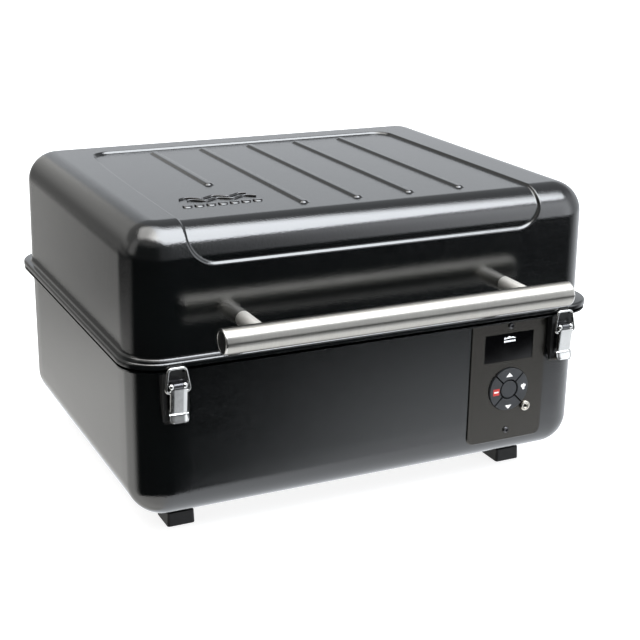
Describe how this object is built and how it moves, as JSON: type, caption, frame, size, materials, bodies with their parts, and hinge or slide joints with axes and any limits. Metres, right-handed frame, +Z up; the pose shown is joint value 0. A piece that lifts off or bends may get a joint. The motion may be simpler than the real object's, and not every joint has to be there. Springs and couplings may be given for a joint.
{
  "type": "portable pellet smoker grill",
  "caption": "Tabletop pellet smoker grill: rounded steel tub and hinged ribbed lid with tube handle, draw latches, control panel, hopper and auger feed.",
  "frame": {"origin": "on the ground under the centre of the bounding box", "axes": "+Z up, -Y the front with the handle and the control panel, +X to the right seen from the front"},
  "size_m": [0.533, 0.508, 0.328],
  "materials": {
    "powder_coat": "semi-gloss black powder coat with a fine orange-peel grain",
    "panel_black": "satin black with a fine grain",
    "brushed_stainless": "brushed around the tube",
    "cap_steel": "dark satin face with a bright bevel",
    "bright_plate": "bright plated",
    "black_steel": "satin black",
    "zinc_steel": "zinc-plated",
    "black_screw": "black oxide, worn bright at the rim",
    "foot_rubber": "moulded matt black",
    "button_rubber": "soft-touch charcoal",
    "gap_black": "matt black silicone",
    "gasket_fibre": "woven black glass-fibre tape",
    "display_glass": "polished black window",
    "board": "green circuit board with black modules",
    "dark_plastic": "moulded black",
    "motor_steel": "die-cast grey",
    "chamber_steel": "dark heat-proof coat",
    "enamel_grate": "glossy porcelain enamel"
  },
  "bodies": {
    "body": {"auger_motor": "motor_steel", "auger_tube": "zinc_steel", "body_hinge_leaves": "black_steel", "body_rim": "powder_coat", "body_shell": "powder_coat", "button_gasket": "gap_black", "chamber_liner": "chamber_steel", "control_board": "board", "control_panel": "panel_black", "display_window": "display_glass", "fan_housing": "zinc_steel", "fan_motor": "motor_steel", "fire_pot": "brushed_stainless", "foot_front_left": "foot_rubber", "foot_front_right": "foot_rubber", "foot_rear_left": "foot_rubber", "foot_rear_right": "foot_rubber", "foot_screws": "zinc_steel", "grease_cup": "chamber_steel", "heat_baffle": "chamber_steel", "hinge_pins": "zinc_steel", "hopper": "zinc_steel", "hopper_deck": "zinc_steel", "hopper_funnel": "zinc_steel", "hopper_hinge_pins": "zinc_steel", "igniter": "motor_steel", "latch_base_left": "bright_plate", "latch_base_right": "bright_plate", "latch_bracket_left": "black_steel", "latch_bracket_right": "black_steel", "latch_pins": "bright_plate", "liner_supports": "zinc_steel", "panel_screws": "black_screw", "power_inlet": "dark_plastic", "probe_jack": "bright_plate", "rim_gasket": "gasket_fibre", "temperature_probe": "brushed_stainless"},
    "lid": {"lid_shell": "powder_coat", "lid_rim": "powder_coat", "handle_bar": "brushed_stainless", "handle_end_caps": "cap_steel", "handle_posts": "brushed_stainless", "handle_screws": "zinc_steel", "lid_catches": "black_steel", "lid_hinge_leaves": "black_steel"},
    "hopper_lid": {"hopper_lid": "black_steel", "hopper_knob": "black_steel"},
    "auger": {"auger_screw": "zinc_steel"},
    "fan": {"fan_impeller": "dark_plastic"},
    "grate": {"cooking_grate": "enamel_grate"},
    "tray": {"drip_tray": "chamber_steel"},
    "lever_left": {"latch_lever_left": "bright_plate"},
    "bail_left": {"latch_bail_left": "bright_plate"},
    "lever_right": {"latch_lever_right": "bright_plate"},
    "bail_right": {"latch_bail_right": "bright_plate"},
    "key_up": {"button_up": "button_rubber"},
    "key_down": {"button_down": "button_rubber"},
    "key_left": {"button_left": "button_rubber"},
    "key_right": {"button_right": "button_rubber"},
    "key_center": {"button_center": "button_rubber"}
  },
  "joints": [
    {"name": "lid_hinge", "type": "hinge", "parent": "body", "child": "lid", "pos_m": [0, 0.248, 0.195], "axis": [-1, 0, 0], "range_deg": [0, 95]},
    {"name": "hopper_lid_hinge", "type": "hinge", "parent": "body", "child": "hopper_lid", "pos_m": [0.109, 0.03, 0.1935], "axis": [0, -1, 0], "range_deg": [0, 90]},
    {"name": "auger_spin", "type": "hinge", "parent": "body", "child": "auger", "pos_m": [0, 0.018, 0.081], "axis": [1, 0, 0], "continuous": true},
    {"name": "fan_spin", "type": "hinge", "parent": "body", "child": "fan", "pos_m": [0.176, 0.128, 0.05], "axis": [0, 0, 1], "continuous": true},
    {"name": "grate_lift", "type": "slide", "parent": "body", "child": "grate", "axis": [0, 0, 1], "range_m": [0, 0.08]},
    {"name": "tray_lift", "type": "slide", "parent": "body", "child": "tray", "axis": [0, 0, 1], "range_m": [0, 0.015]},
    {"name": "lever_left_swing", "type": "hinge", "parent": "body", "child": "lever_left", "pos_m": [-0.22, -0.2022, 0.1783], "axis": [-1, 0, 0], "range_deg": [0, 150]},
    {"name": "bail_left_swing", "type": "hinge", "parent": "lever_left", "child": "bail_left", "pos_m": [-0.22, -0.2022, 0.1723], "axis": [-1, 0, 0], "range_deg": [-150, 0]},
    {"name": "lever_right_swing", "type": "hinge", "parent": "body", "child": "lever_right", "pos_m": [0.22, -0.2022, 0.1783], "axis": [-1, 0, 0], "range_deg": [0, 150]},
    {"name": "bail_right_swing", "type": "hinge", "parent": "lever_right", "child": "bail_right", "pos_m": [0.22, -0.2022, 0.1723], "axis": [-1, 0, 0], "range_deg": [-150, 0]},
    {"name": "key_up_press", "type": "slide", "parent": "body", "child": "key_up", "axis": [0, 1, 0], "range_m": [0, 0.0008], "stiffness_N_per_m": 800},
    {"name": "key_down_press", "type": "slide", "parent": "body", "child": "key_down", "axis": [0, 1, 0], "range_m": [0, 0.0008], "stiffness_N_per_m": 800},
    {"name": "key_left_press", "type": "slide", "parent": "body", "child": "key_left", "axis": [0, 1, 0], "range_m": [0, 0.0008], "stiffness_N_per_m": 800},
    {"name": "key_right_press", "type": "slide", "parent": "body", "child": "key_right", "axis": [0, 1, 0], "range_m": [0, 0.0008], "stiffness_N_per_m": 800},
    {"name": "key_center_press", "type": "slide", "parent": "body", "child": "key_center", "axis": [0, 1, 0], "range_m": [0, 0.0008], "stiffness_N_per_m": 800}
  ],
  "couplings": [
    {"joint": "bail_left_swing", "follows": "lever_left_swing", "ratio": -1},
    {"joint": "bail_right_swing", "follows": "lever_right_swing", "ratio": -1}
  ]
}
